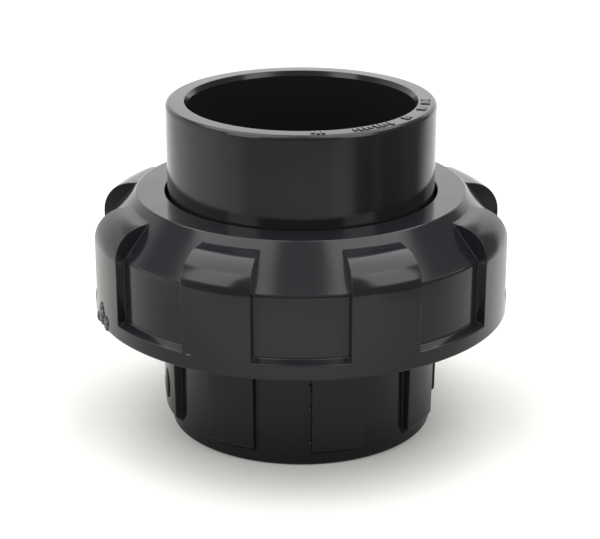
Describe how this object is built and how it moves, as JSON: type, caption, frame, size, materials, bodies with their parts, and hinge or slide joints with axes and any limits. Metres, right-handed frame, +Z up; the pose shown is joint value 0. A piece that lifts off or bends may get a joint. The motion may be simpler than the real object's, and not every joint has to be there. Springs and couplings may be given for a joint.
{
  "type": "pipe union",
  "caption": "Solvent-cement pipe union with two plain sockets, joined by a lugged nut that screws down over a flanged end onto a threaded body with a sealing ring.",
  "frame": {"origin": "centre of the lower socket's rim, which is also the centre of the bottom of the whole part", "axes": "+Z up along the pipe's axis, from the threaded body to the flanged end. +X to the right and +Y away from the viewer, with a grip pocket of the nut facing -Y"},
  "size_m": [0.1172, 0.1172, 0.0937],
  "materials": {
    "body_pvc": "dark grey moulded PVC-U, semi-gloss",
    "seal_rubber": "black EPDM, matt",
    "end_pvc": "dark grey moulded PVC-U, semi-gloss",
    "nut_pvc": "dark grey moulded PVC-U, semi-gloss"
  },
  "bodies": {
    "threaded_body": {"threaded_body": "body_pvc", "sealing_ring": "seal_rubber"},
    "union_end": {"union_end": "end_pvc"},
    "union_nut": {"union_nut": "nut_pvc"}
  },
  "joints": [
    {"name": "end_lift", "type": "slide", "parent": "threaded_body", "child": "union_end", "axis": [0, 0, 1], "range_m": [0, 0.018]},
    {"name": "nut_turn", "type": "hinge", "parent": "union_end", "child": "union_nut", "pos_m": [0, 0, 0.0554], "axis": [0, 0, 1], "range_deg": [0, 1080]}
  ],
  "couplings": [
    {"joint": "end_lift", "follows": "nut_turn", "m_per_rad": 0.00095493}
  ]
}
